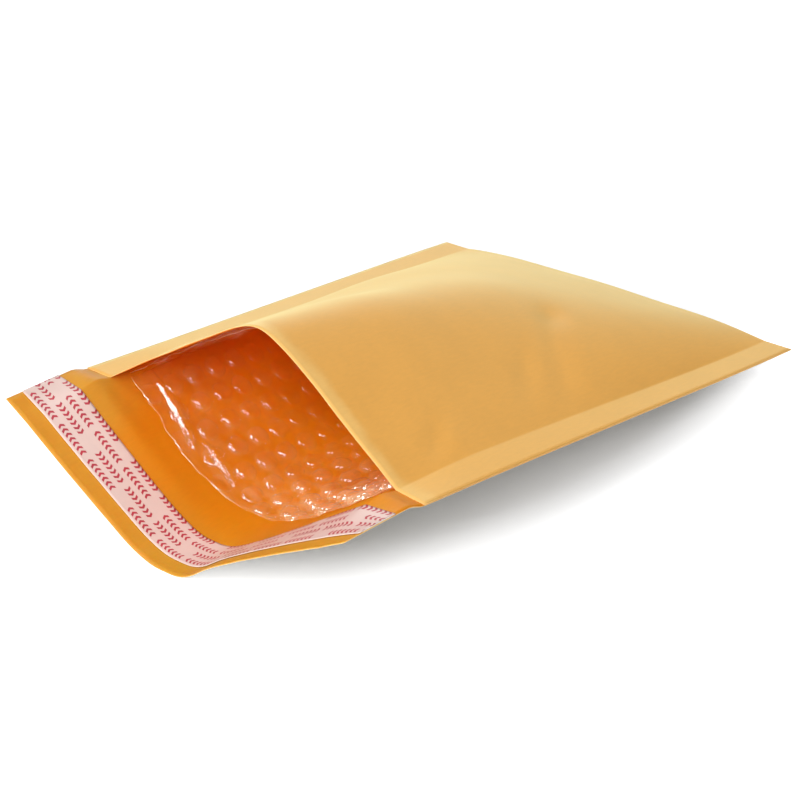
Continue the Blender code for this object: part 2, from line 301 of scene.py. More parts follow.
class MailerFilmSettings(bpy.types.PropertyGroup):
    """Sizes and colours of the bubble film."""

    thickness: FloatProperty(
        name="Thickness", description="Thickness of the backing film",
        default=0.00012, min=0.00005, max=0.001, unit="LENGTH")
    pitch: FloatProperty(
        name="Bubble Pitch", description="Distance between two bubbles of a row",
        default=0.01205, min=0.006, max=0.03, unit="LENGTH")
    row_pitch: FloatProperty(
        name="Row Pitch", description="Distance between two rows of bubbles",
        default=0.0108, min=0.005, max=0.03, unit="LENGTH")
    row_offset: FloatProperty(
        name="Row Offset", description="How far the rows' middle lies to the right of the sheet's",
        default=0.0007, min=-0.01, max=0.01, unit="LENGTH")
    bubble_start: FloatProperty(
        name="Bubble Start", description="Distance of the first bubble from the mouth",
        default=0.0110, min=0.0, max=0.03, unit="LENGTH")
    radius: FloatProperty(
        name="Bubble Radius", description="Radius of a bubble at its foot",
        default=0.0048, min=0.002, max=0.015, unit="LENGTH")
    height: FloatProperty(
        name="Bubble Height", description="Height of a bubble",
        default=0.0030, min=0.001, max=0.01, unit="LENGTH")
    colour: FloatVectorProperty(
        name="Film Colour", description="Colour of the film's haze",
        default=(1.0, 0.70, 0.40, 1.0), min=0.0, max=1.0, size=4, subtype="COLOR")
    haze: FloatProperty(
        name="Haze", description="How milky the film is",
        default=0.070, min=0.0, max=1.0)
    seed: IntProperty(
        name="Seed", description="Seed of the bubbles' small differences",
        default=7, min=0)


class MailerClosureSettings(bpy.types.PropertyGroup):
    """Sizes and colours of the adhesive strip and its release liner."""

    liner_thickness: FloatProperty(
        name="Liner Thickness", description="Thickness of the release liner",
        default=0.00018, min=0.00005, max=0.001, unit="LENGTH")
    adhesive_thickness: FloatProperty(
        name="Adhesive Thickness", description="Thickness of the glue",
        default=0.00020, min=0.00005, max=0.001, unit="LENGTH")
    liner_colour: FloatVectorProperty(
        name="Liner Colour", description="Colour of the release paper",
        default=(0.715, 0.535, 0.485, 1.0), min=0.0, max=1.0, size=4, subtype="COLOR")
    mark_colour: FloatVectorProperty(
        name="Mark Colour", description="Colour of the printed marks",
        default=(0.42, 0.016, 0.040, 1.0), min=0.0, max=1.0, size=4, subtype="COLOR")
    adhesive_colour: FloatVectorProperty(
        name="Adhesive Colour", description="Colour of the glue",
        default=(0.80, 0.62, 0.36, 1.0), min=0.0, max=1.0, size=4, subtype="COLOR")
    mark_height: FloatProperty(
        name="Mark Height", description="Height of a printed mark",
        default=0.0027, min=0.001, max=0.01, unit="LENGTH")
    mark_pitch: FloatProperty(
        name="Mark Pitch", description="Distance between two printed marks",
        default=0.0021, min=0.001, max=0.01, unit="LENGTH")
    row_pitch: FloatProperty(
        name="Row Pitch", description="Distance between two rows of marks",
        default=0.0049, min=0.002, max=0.02, unit="LENGTH")


class MailerStageSettings(bpy.types.PropertyGroup):
    """Camera, lamps and table."""

    azimuth: FloatProperty(
        name="Azimuth", description="Turn of the camera round the mailer",
        default=math.radians(39.38), subtype="ANGLE")
    elevation: FloatProperty(
        name="Elevation", description="Height of the camera above the horizon",
        default=math.radians(27.08), subtype="ANGLE")
    distance: FloatProperty(
        name="Distance", description="Distance of the camera from the mailer",
        default=0.8075, min=0.3, unit="LENGTH")
    lens: FloatProperty(
        name="Lens", description="Focal length of the camera in millimetres",
        default=90.0, min=20.0)
    key_level: FloatProperty(
        name="Key Level", description="Share of the light that comes from the key lamp",
        default=0.29, min=0.0)
    front_level: FloatProperty(
        name="Front Level", description="Share of the light that comes from the camera's side",
        default=0.21, min=0.0)
    mouth_level: FloatProperty(
        name="Mouth Level", description="Share of the light that comes from before the mouth",
        default=0.46, min=0.0)
    top_level: FloatProperty(
        name="Top Level", description="Share of the light that comes from above",
        default=0.15, min=0.0)
    back_level: FloatProperty(
        name="Back Level", description="Share of the light that comes low from behind",
        default=0.20, min=0.0)
    world_level: FloatProperty(
        name="World Level", description="Share of the light that comes from all round",
        default=0.24, min=0.0)
    table_colour: FloatVectorProperty(
        name="Table Colour", description="Colour of the table",
        default=(0.95, 0.94, 0.93, 1.0), min=0.0, max=1.0, size=4, subtype="COLOR")


def ease(value):
    """Smooth step from 0 to 1."""
    value = np.clip(value, 0.0, 1.0)
    return value * value * (3.0 - 2.0 * value)


def blend(start, end, share):
    """Straight blend between two values."""
    return start + (end - start) * share


def bell(value):
    """Smooth hump: 1 at 0, and almost 0 from 2 on."""
    return np.exp(-value * value)


def side_value(pair, side):
    """Value of a left and right pair, for side -1 or +1."""
    return np.where(side < 0, pair[0], pair[1])


def soft_noise(x, y, seed):
    """Smooth noise from -1 to 1 over cells of size 1."""
    table = np.random.default_rng(seed).uniform(-1.0, 1.0, (NOISE_CELLS, NOISE_CELLS))
    column, row = np.floor(x).astype(int), np.floor(y).astype(int)
    u, v = ease(x - column), ease(y - row)

    def corner(i, j):
        """Value of the table at a corner of the cell."""
        return table[(column + i) % NOISE_CELLS, (row + j) % NOISE_CELLS]

    lower = blend(corner(0, 0), corner(1, 0), u)
    upper = blend(corner(0, 1), corner(1, 1), u)
    return blend(lower, upper, v)


def waves(x, y, sizes, seed):
    """Noise of a height, and of a length each way."""
    height, length_x, length_y = sizes
    return height * soft_noise(x / length_x, y / length_y, seed)


def seam_edge_height(along, side):
    """Height of the mailer's side edge, along metres past the mouth."""
    mouth = side_value(MOUTH_SEAM_HEIGHTS, side)
    rim = side_value(RIM_CORNER_HEIGHTS, side)
    pocket = blend(mouth, FOLD_HEIGHT, np.clip(along / POCKET_LENGTH, 0.0, 1.0))
    reach = np.clip(-along / FLAP_LENGTH, 0.0, 1.0)
    flap = blend(mouth, rim, reach) + EDGE_LIFT * ease(-along / EDGE_LIFT_LENGTH) * (1 - reach)
    return np.where(along < 0, flap, pocket)


def seam_tilt(along, side):
    """Tilt of the side strip: it twists near the mouth and lies level at the fold."""
    mouth = side_value(MOUTH_TILTS, side)
    body = side_value(BODY_TILTS, side) * (1.0 - ease(along / POCKET_LENGTH))
    pocket = blend(mouth, body, ease(along / TILT_LENGTH))
    flap = blend(mouth, side_value(RIM_TILTS, side), ease(-along / FLAP_LENGTH))
    return np.where(along < 0, flap, pocket)


def crease_height(along, side):
    """Height of the line where the panels leave the side strip."""
    return seam_edge_height(along, side) + SEAM_WIDTH * np.sin(seam_tilt(along, side))


def bottom_height(along):
    """Height of the back panel's lowest line: on the table, then rising to the fold."""
    rise = np.clip((along - REST_LENGTH) / (POCKET_LENGTH - REST_LENGTH), 0.0, 1.0) ** 2
    return LAYER_STEP / 2 + (FOLD_HEIGHT - FOLD_HALF_THICKNESS) * rise


def crest_height(along):
    """Height of the front panel's top line."""
    share = np.clip(along / POCKET_LENGTH, 0.0, 1.0)
    straight = blend(CREST_HEIGHT, FOLD_HEIGHT + FOLD_HALF_THICKNESS, share)
    return straight + CREST_SWELL * np.sin(math.pi * share)


def panel_half_chord(along):
    """Half the straight distance between the creases, from the sheet's width and its bend."""
    crease = (crease_height(along, -1) + crease_height(along, 1)) / 2
    depth = crease - bottom_height(along)
    rise = crest_height(along) - crease
    bend = np.where(along < 0, blend(rise + depth, 2 * depth, ease(-along / FLAP_LENGTH)),
                    rise + depth) / 2
    return np.sqrt(PANEL_HALF ** 2 - BEND_PULL * bend ** 2)


def bend_profile(share, rounding, flat):
    """Rounded V: 0 on the middle flat, 1 at both creases."""
    reach = np.maximum(np.abs(share) - flat, 0.0)
    full = np.sqrt((1.0 - flat) ** 2 + rounding ** 2) - rounding
    return (np.sqrt(reach ** 2 + rounding ** 2) - rounding) / full


def shifted(share, offset):
    """Share across the panel, counted from a middle line that is off centre."""
    return np.where(share < offset, (share - offset) / (1 + offset), (share - offset) / (1 - offset))


def rim_swell(share, along):
    """Height of the soft swell on the right half of the flap, greatest at its free edge."""
    right = np.clip(share, 0.0, 1.0)
    hump = ease(right / RIM_SWELL_START) * 4 * right * (1 - right)
    return RIM_SWELL * hump * ease(-along / FLAP_LENGTH)


def panel_point(across, along, front):
    """Point on one panel: across metres from the middle, along metres past the mouth."""
    side = np.where(across < 0, -1, 1)
    share = np.clip(across / PANEL_HALF, -1.0, 1.0)
    filled = np.clip(along / POCKET_LENGTH, 0.0, 1.0)
    crease = blend(crease_height(along, -1), crease_height(along, 1), (share + 1) / 2)
    pillow = ease((filled - PILLOW_START) / (1 - PILLOW_START))
    if front:
        centred = shifted(share, CREST_OFFSET / PANEL_HALF * (1 - filled))
        rounding = blend(CREST_ROUNDING, FRONT_ROUNDING, ease(filled))
        fall = blend(bend_profile(centred, rounding, 0.0), centred ** 4, pillow)
        height = crease + LAYER_STEP / 2 + (crest_height(along) - crease) * (1 - fall)
        recess = MOUTH_RECESS * (1 - filled) * (1 - fall)
    else:
        centred = shifted(share, TROUGH_OFFSET / PANEL_HALF * (1 - filled))
        body = ease(filled / BODY_START)
        rounding = blend(TROUGH_ROUNDING, BODY_ROUNDING, body)
        flat = blend(TROUGH_FLAT, BODY_FLAT, body)
        lift = blend(bend_profile(centred, rounding, flat), centred ** 4, pillow)
        low = bottom_height(along)
        height = low + (crease - LAYER_STEP / 2 - low) * lift + rim_swell(share, along)
        recess = 0.0
    strip = np.maximum(np.abs(across) - PANEL_HALF, 0.0)
    tilt = seam_tilt(along, side)
    x = share * panel_half_chord(along) + side * strip * np.cos(tilt)
    y = MOUTH_Y + along + recess
    z = height - strip * np.sin(tilt)
    return np.stack(np.broadcast_arrays(x, y, z), axis=-1)


def plain_fold(across, run):
    """Points of the paper's middle surface without its dents."""
    ends = [panel_point(across, np.full_like(across, POCKET_LENGTH), front)
            for front in (False, True)]
    radius = np.linalg.norm(ends[1] - ends[0], axis=-1) / 2
    angle = np.clip((run - FOLD_LINE) / FOLD_HALF_THICKNESS, -1.0, 1.0) * math.pi / 2
    flat_along = np.where(run < FOLD_LINE, run - FLAP_LENGTH, SHEET_END - run)
    stretch = (POCKET_LENGTH - radius) / (POCKET_LENGTH - FOLD_HALF_THICKNESS)
    flat_along = flat_along * np.where(flat_along > 0, stretch, 1.0)
    bent_along = POCKET_LENGTH - radius * (1 - np.cos(angle))
    along = np.where(np.abs(run - FOLD_LINE) < FOLD_HALF_THICKNESS, bent_along, flat_along)
    share = ((np.sin(angle) + 1) / 2)[..., None]
    return blend(panel_point(across, along, False), panel_point(across, along, True), share)


def surface_normal(surface, across, run):
    """Unit normal of a surface of the sheet, pointing to the inside of the mailer."""
    along_x = surface(across + SAMPLE_STEP, run) - surface(across - SAMPLE_STEP, run)
    along_run = surface(across, run + SAMPLE_STEP) - surface(across, run - SAMPLE_STEP)
    normal = np.cross(along_x, along_run)
    return normal / np.linalg.norm(normal, axis=-1, keepdims=True)


def dent_lift(across, run):
    """How far the handled paper's dents and waves push it towards the inside."""
    along = SHEET_END - run
    lift = np.zeros_like(across)
    for middle, place, turn, length, width, depth in FRONT_DENTS:
        u = (across - middle) * math.cos(turn) + (along - place) * math.sin(turn)
        v = (along - place) * math.cos(turn) - (across - middle) * math.sin(turn)
        lift = lift - depth * bell(u / length) * bell(v / width)
    inside = ease((PANEL_HALF - np.abs(across)) / DENT_FADE)
    free = np.minimum(run, SHEET_END - run)
    swell = waves(across, run, PAPER_SWELL, 3)
    ripple = waves(across, run, EDGE_RIPPLE, 5) * bell(free / EDGE_RIPPLE_WIDTH)
    return (lift + swell) * inside + ripple


def dented_fold(across, run):
    """Points of the paper's middle surface."""
    normal = surface_normal(plain_fold, across, run)
    return plain_fold(across, run) + dent_lift(across, run)[..., None] * normal


def fold(flat):
    """Carry flat points, as rows of across, run and lift, to their places on the folded mailer."""
    across, run, lift = flat[:, 0], flat[:, 1], flat[:, 2]
    normal = surface_normal(dented_fold, across, run)
    return dented_fold(across, run) + lift[:, None] * normal


def half_room(across, run):
    """Half the free distance between a point of the sheet and the panel that faces it."""
    facing = np.clip(2 * FOLD_LINE - run, 0.0, SHEET_END)
    return np.linalg.norm(dented_fold(across, run) - dented_fold(across, facing), axis=-1) / 2


def vertex_places(mesh):
    """Places of a mesh's vertices, one row each."""
    places = np.empty(len(mesh.vertices) * 3)
    mesh.vertices.foreach_get("co", places)
    return places.reshape(-1, 3)


def set_vertex_places(mesh, places):
    """Move a mesh's vertices."""
    mesh.vertices.foreach_set("co", places.astype(np.float32).ravel())


def set_uv_map(mesh, name, values):
    """Write a UV map from one pair of values for each vertex."""
    corners = np.empty(len(mesh.loops), dtype=np.int32)
    mesh.loops.foreach_get("vertex_index", corners)
    layer = mesh.uv_layers.get(name) or mesh.uv_layers.new(name=name)
    layer.data.foreach_set("uv", values[corners].astype(np.float32).ravel())


def fold_mesh(mesh):
    """Fold a flat mesh, keeping its flat place in a UV map called Sheet, in metres."""
    flat = vertex_places(mesh)
    set_uv_map(mesh, "Sheet", flat[:, :2])
    set_vertex_places(mesh, fold(flat))
    mesh.update()


def add_piece(name, mesh):
    """New object with a mesh, in the scene's collection."""
    piece = bpy.data.objects.new(name, mesh)
    bpy.context.scene.collection.objects.link(piece)
    return piece


def flat_sheet(name, columns, rows, lift=0.0):
    """Flat mesh whose lines stand at the given places across and along the run."""
    sheet = bmesh.new()
    bmesh.ops.create_grid(sheet, x_segments=len(columns) - 1, y_segments=len(rows) - 1, size=0.5)
    for vert in sheet.verts:
        column = round((vert.co.x + 0.5) * (len(columns) - 1))
        row = round((vert.co.y + 0.5) * (len(rows) - 1))
        vert.co = (columns[column], rows[row], lift)
    mesh = bpy.data.meshes.new(name)
    sheet.to_mesh(mesh)
    sheet.free()
    mesh.shade_smooth()
    return mesh


def lines(step, *places):
    """Mesh lines through the given places, at most about a step apart."""
    found = [places[0]]
    for start, end in zip(places, places[1:]):
        count = max(1, math.ceil((end - start) / step - 0.01))
        found.extend(start + (end - start) * np.arange(1, count + 1) / count)
    return np.array(found)


def thicken(piece, thickness, outer_slot=0, rim_slot=0):
    """Give a folded sheet its thickness, with other materials on its outer side and its rim."""
    solid = piece.modifiers.new("Thickness", "SOLIDIFY")
    solid.thickness = thickness
    solid.offset = 0.0
    solid.use_even_offset = True
    solid.material_offset = outer_slot
    solid.material_offset_rim = rim_slot


def new_material(name):
    """New node material, its node tree and its shader."""
    material = bpy.data.materials.new(name)
    material.use_nodes = True
    tree = material.node_tree
    shader = tree.nodes["Principled BSDF"]
    return material, tree, shader


def add_node(tree, kind, inputs=(), **settings):
    """Add a node, set its properties and fill or link its inputs by name or number."""
    node = tree.nodes.new(kind)
    for key, value in settings.items():
        setattr(node, key, value)
    for key, value in dict(inputs).items():
        if isinstance(value, bpy.types.NodeSocket):
            tree.links.new(value, node.inputs[key])
        else:
            node.inputs[key].default_value = value
    return node


def math_node(tree, operation, first, second=0.0, third=0.0):
    """Output of a Math node."""
    return add_node(tree, "ShaderNodeMath", {0: first, 1: second, 2: third},
                    operation=operation).outputs[0]


def mix_colours(tree, share, first, second):
    """Output of a node that mixes two colours."""
    node = add_node(tree, "ShaderNodeMix", {"Factor": share}, data_type="RGBA")
    for key, value in ((6, first), (7, second)):
        if isinstance(value, bpy.types.NodeSocket):
            tree.links.new(value, node.inputs[key])
        else:
            node.inputs[key].default_value = value
    return node.outputs[2]


def ramp(tree, value, start, end, low=0.0, high=1.0, smooth=False):
    """Output of a node that maps a value from one range to another, and stops at its ends."""
    return add_node(tree, "ShaderNodeMapRange",
                    {"Value": value, "From Min": start, "From Max": end, "To Min": low, "To Max": high},
                    interpolation_type="SMOOTHSTEP" if smooth else "LINEAR").outputs[0]


def link_bump(tree, shader, height, strength, distance):
    """Let a height roughen a shader's surface. Gives the bumped normal."""
    bump = add_node(tree, "ShaderNodeBump",
                    {"Height": height, "Strength": strength, "Distance": distance})
    tree.links.new(bump.outputs[0], shader.inputs["Normal"])
    return bump.outputs[0]


def uv_place(tree, uv_map="Sheet"):
    """Both parts of a place in a UV map: across and run on the flat sheet."""
    place = add_node(tree, "ShaderNodeUVMap", uv_map=uv_map)
    split = add_node(tree, "ShaderNodeSeparateXYZ", {0: place.outputs[0]})
    return split.outputs[0], split.outputs[1]


def sheet_noise(tree, scale, stretch=(1.0, 1.0, 1.0), detail=3.0, roughness=0.5):
    """Noise over the flat sheet, stretched along its run or across it."""
    place = add_node(tree, "ShaderNodeUVMap", uv_map="Sheet").outputs[0]
    mapping = add_node(tree, "ShaderNodeMapping", {"Vector": place, "Scale": stretch})
    noise = add_node(tree, "ShaderNodeTexNoise",
                     {"Vector": mapping.outputs[0], "Scale": scale, "Detail": detail,
                      "Roughness": roughness})
    return noise.outputs[0]


def shaded(colour, factor):
    """A colour made lighter or darker."""
    return tuple(min(1.0, channel * factor) for channel in colour[:3]) + (1.0,)


def kraft_material(name, colour, steps, grain, roughness, painted_seam_share=0.0, grey_bounce=None):
    """Kraft paper with clouds and fibres.

    Each step is a colour that comes in over a stretch of the run, farther along it near the left-hand
    edge;
    the steps paint light, shade and glow into the paper's colour. The side strips take a share of the
    last one, as painted light.
    Light that is scattered about, as under the mailer, meets the grey bounce colour, where one is given:
    a painted colour that keeps the table's shadow grey.
    """
    material, tree, shader = new_material(name)
    clouds = sheet_noise(tree, 55.0, detail=4.0)
    fibres = sheet_noise(tree, 900.0, stretch=(1.0, 0.22, 1.0), detail=4.0, roughness=0.65)
    flecks = sheet_noise(tree, 2600.0, stretch=(1.0, 0.5, 1.0), detail=2.0)
    mixed = math_node(tree, "MULTIPLY_ADD", fibres, 0.6, math_node(tree, "MULTIPLY", clouds, 0.4))
    tone = ramp(tree, mixed, 0.38, 0.62)
    across, run = uv_place(tree)
    # The steps come in farther along the run near the left-hand edge, so the flap's painted light
    # reaches farther in on its lit left side
    leftward = math_node(tree, "MAXIMUM", math_node(tree, "MULTIPLY_ADD", across, -1.5, -0.088), 0.0)
    cloudy_run = math_node(tree, "MULTIPLY_ADD", clouds, 0.012, run)
    uneven = math_node(tree, "SUBTRACT", cloudy_run, leftward)
    # Painted light: the side strips take a share of the last colour
    seam = ramp(tree, math_node(tree, "ABSOLUTE", across), PANEL_HALF - 0.0004, PANEL_HALF + 0.0004,
                high=painted_seam_share, smooth=True)
    plain = colour
    for start, end, next_colour in steps:
        plain = mix_colours(tree, ramp(tree, uneven, start, end, smooth=True), plain, next_colour)
    plain = mix_colours(tree, seam, plain, steps[-1][2])
    # Painted shadow colour: light scattered from the outer side is grey instead of kraft, so the table's
    # shadow under the mailer is grey, not brown
    if grey_bounce:
        scattered = add_node(tree, "ShaderNodeLightPath").outputs["Is Diffuse Ray"]
        plain = mix_colours(tree, scattered, plain, grey_bounce)
    shade = math_node(tree, "MULTIPLY_ADD", tone, 2 * grain, 1 - grain)
    base = add_node(tree, "ShaderNodeVectorMath", {0: plain, "Scale": shade}, operation="SCALE")
    tree.links.new(base.outputs[0], shader.inputs["Base Color"])
    link_bump(tree, shader, math_node(tree, "MULTIPLY_ADD", flecks, 0.4, fibres), 0.12, 0.00008)
    rough = ramp(tree, fibres, 0.0, 1.0, roughness - 0.06, roughness + 0.06)
    tree.links.new(rough, shader.inputs["Roughness"])
    shader.inputs["Specular IOR Level"].default_value = 0.45
    return material, shader


def film_material(colour, haze):
    """Clear film: a cloudy haze under a mirror coat, on outward faces only.

    Shadow rays and scattered light pass it. It is milky in thin streaks by its cut edge. It is milkier
    towards the right, a painted sheen for the whitish shine of film seen there at a slant.
    Its haze and mirroring fade deep in the pocket, and under the front panel it mirrors less: painted
    shade where little light reaches.
    """
    material, tree, shader = new_material("clear_film")
    clouds = sheet_noise(tree, 150.0, detail=3.0)
    streaks = sheet_noise(tree, 210.0, stretch=(0.35, 1.0, 1.0), detail=4.0, roughness=0.6)
    wrinkles = sheet_noise(tree, 620.0, stretch=(1.0, 0.5, 1.0), detail=4.0, roughness=0.60)
    normal = link_bump(tree, shader, wrinkles, 0.40, 0.0006)
    shader.inputs["Base Color"].default_value = colour
    shader.inputs["Roughness"].default_value = 0.30
    shader.inputs["Specular IOR Level"].default_value = 0.2
    path = add_node(tree, "ShaderNodeLightPath")
    scattered = math_node(tree, "MAXIMUM", path.outputs["Is Shadow Ray"], path.outputs["Is Diffuse Ray"])
    behind = add_node(tree, "ShaderNodeNewGeometry").outputs["Backfacing"]
    outward = math_node(tree, "SUBTRACT", 1.0, math_node(tree, "MAXIMUM", behind, scattered))
    facing = add_node(tree, "ShaderNodeLayerWeight", {"Blend": 0.5}).outputs["Facing"]

    milk = ramp(tree, math_node(tree, "MULTIPLY", clouds, streaks), 0.18, 0.36, haze * 0.25, haze * 2.0)
    slanting = math_node(tree, "MULTIPLY_ADD", math_node(tree, "POWER", facing, 2.0), 1.6, 0.6)
    across, run = uv_place(tree)
    # Painted sheen: the film is milkier towards the right, for the whitish shine it shows there at a
    # slant
    right_painted_sheen = ramp(tree, across, -0.03, 0.06, 1.0, 3.5)
    from_cut = uv_place(tree, "Cut")[0]
    rim = ramp(tree, from_cut, 0.0003, 0.0009, 0.55, 0.0)
    rim_milk = math_node(tree, "MULTIPLY", rim, math_node(tree, "MULTIPLY_ADD", streaks, 3.2, -1.0))
    # Painted shade: the film's haze and mirroring fade deep in the pocket, where little light reaches
    depth = ramp(tree, run, *FILM_SHADE_RUN, 1.0, DEEP_SHADE_SHARE, smooth=True)
    milk_share = math_node(tree, "MULTIPLY", math_node(tree, "MULTIPLY", milk, slanting),
                           math_node(tree, "MULTIPLY", right_painted_sheen, depth))
    milky = math_node(tree, "MULTIPLY", math_node(tree, "MAXIMUM", milk_share, rim_milk), outward)
    clear = add_node(tree, "ShaderNodeBsdfTransparent", {"Color": (1.0, 1.0, 1.0, 1.0)})
    body = add_node(tree, "ShaderNodeMixShader",
                    {0: milky, 1: clear.outputs[0], 2: shader.outputs[0]})

    mirror = add_node(tree, "ShaderNodeBsdfAnisotropic",
                      {"Color": (1.0, 1.0, 1.0, 1.0), "Roughness": 0.09, "Normal": normal})
    glancing = math_node(tree, "POWER", facing, 5.0)
    share = math_node(tree, "MULTIPLY_ADD", glancing, GLANCING_SHINE - FACING_SHINE, FACING_SHINE)
    # Painted shade: the film under the front panel mirrors less
    upper = math_node(tree, "GREATER_THAN", run, FOLD_LINE)
    share = math_node(tree, "MULTIPLY", share,
                      math_node(tree, "MULTIPLY_ADD", upper, -UPPER_SHADED_SHINE_LOSS, 1.0))
    share = math_node(tree, "MULTIPLY", share, depth)
    coat = add_node(tree, "ShaderNodeMixShader", {0: math_node(tree, "MULTIPLY", share, outward),
                                                  1: body.outputs[0], 2: mirror.outputs[0]})
    tree.links.new(coat.outputs[0], tree.nodes["Material Output"].inputs["Surface"])
    return material


def liner_material(settings):
    """Release paper: a satin pinkish white with rows of red chevrons, turned in every other row."""
    material, tree, shader = new_material("release_paper")
    across, run = uv_place(tree)
    rows = math_node(tree, "DIVIDE", math_node(tree, "SUBTRACT", run, FIRST_ROW), settings.row_pitch)
    row = math_node(tree, "FLOOR", rows)
    from_row = math_node(tree, "SUBTRACT", math_node(tree, "FRACT", rows), 0.5)
    height = math_node(tree, "MULTIPLY", from_row, settings.row_pitch)
    way = math_node(tree, "MULTIPLY_ADD", math_node(tree, "FLOORED_MODULO", row, 2.0), 2.0, -1.0)
    start = math_node(tree, "MULTIPLY", row, CHEVRON_ROW_SHIFT)
    place = math_node(tree, "ADD", math_node(tree, "ADD", across, start), 1.0)
    cells = math_node(tree, "DIVIDE", place, settings.mark_pitch)
    cell = math_node(tree, "FLOORED_MODULO", math_node(tree, "FLOOR", cells), CHEVRON_REPEAT)
    from_cell = math_node(tree, "SUBTRACT", math_node(tree, "FRACT", cells), 0.5)
    turned = math_node(tree, "MULTIPLY", from_cell, way)
    offset = math_node(tree, "MULTIPLY", turned, settings.mark_pitch)
    slant = math_node(tree, "MULTIPLY", math_node(tree, "ABSOLUTE", height), CHEVRON_SLANT)
    from_tip = math_node(tree, "SUBTRACT", math_node(tree, "ADD", offset, slant),
                         settings.mark_height * CHEVRON_TIP)
    inked = math_node(tree, "LESS_THAN", math_node(tree, "ABSOLUTE", from_tip), CHEVRON_STROKE)
    tall = math_node(tree, "LESS_THAN", math_node(tree, "ABSOLUTE", height), settings.mark_height / 2)
    shown = math_node(tree, "LESS_THAN", cell, CHEVRON_SHOWN)
    gap = math_node(tree, "COMPARE", math_node(tree, "FLOORED_MODULO", cell, CHEVRON_GROUP),
                    CHEVRON_GROUP - 1, 0.4)
    print_on = math_node(tree, "MULTIPLY", math_node(tree, "MULTIPLY", inked, tall),
                         math_node(tree, "MULTIPLY", shown, math_node(tree, "SUBTRACT", 1.0, gap)))
    clouds = sheet_noise(tree, 160.0, detail=3.0)
    paper = mix_colours(tree, clouds, shaded(settings.liner_colour, 0.95),
                        shaded(settings.liner_colour, 1.05))
    ink = mix_colours(tree, clouds, shaded(settings.mark_colour, 0.8), shaded(settings.mark_colour, 1.3))
    tree.links.new(mix_colours(tree, math_node(tree, "MULTIPLY", print_on, INK_SHARE), paper, ink),
                   shader.inputs["Base Color"])
    wrinkles = sheet_noise(tree, 300.0, stretch=(1.0, 0.5, 1.0), detail=3.0)
    link_bump(tree, shader, wrinkles, 0.12, 0.0004)
    shader.inputs["Roughness"].default_value = 0.38
    shader.inputs["Specular IOR Level"].default_value = 0.5
    return material


def edge_material(name, colour, roughness):
    """Cut edge of a sheet, lighter than its faces."""
    material, tree, shader = new_material(name)
    streaks = sheet_noise(tree, 700.0, detail=2.0)
    base = mix_colours(tree, streaks, shaded(colour, 0.88), shaded(colour, 1.12))
    tree.links.new(base, shader.inputs["Base Color"])
    shader.inputs["Roughness"].default_value = roughness
    return material


def adhesive_material(colour):
    """Clear amber glue with a glossy, slightly uneven face."""
    material, tree, shader = new_material("adhesive")
    streaks = sheet_noise(tree, 350.0, stretch=(0.2, 1.0, 1.0), detail=3.0)
    base = mix_colours(tree, streaks, shaded(colour, 0.85), shaded(colour, 1.15))
    tree.links.new(base, shader.inputs["Base Color"])
    link_bump(tree, shader, streaks, 0.2, 0.0003)
    shader.inputs["Roughness"].default_value = 0.22
    return material


class GeometryTree:
    """A Geometry Nodes tree with named inputs, built from the script."""

    def __init__(self, name, sizes):
        self.tree = bpy.data.node_groups.new(name, "GeometryNodeTree")
        self.tree.is_modifier = True
        self.sockets = {}
        for label, (kind, value) in sizes.items():
            socket = self.tree.interface.new_socket(label, in_out="INPUT", socket_type=kind)
            if value is not None:
                socket.default_value = value
            self.sockets[label] = socket.identifier
        self.tree.interface.new_socket("Geometry", in_out="OUTPUT", socket_type="NodeSocketGeometry")
        self.inputs = self.tree.nodes.new("NodeGroupInput").outputs

    def node(self, kind, inputs=(), **settings):
        """Add a node."""
        return add_node(self.tree, kind, inputs, **settings)

    def maths(self, operation, first, second=0.0, third=0.0):
        """Output of a Math node."""
        return math_node(self.tree, operation, first, second, third)

    def finish(self, geometry, material):
        """End the tree in real geometry with a material."""
        real = self.node("GeometryNodeRealizeInstances", {"Geometry": geometry})
        painted = self.node("GeometryNodeSetMaterial",
                            {"Geometry": real.outputs[0], "Material": material})
        output = self.node("NodeGroupOutput")
        self.tree.links.new(painted.outputs[0], output.inputs[0])


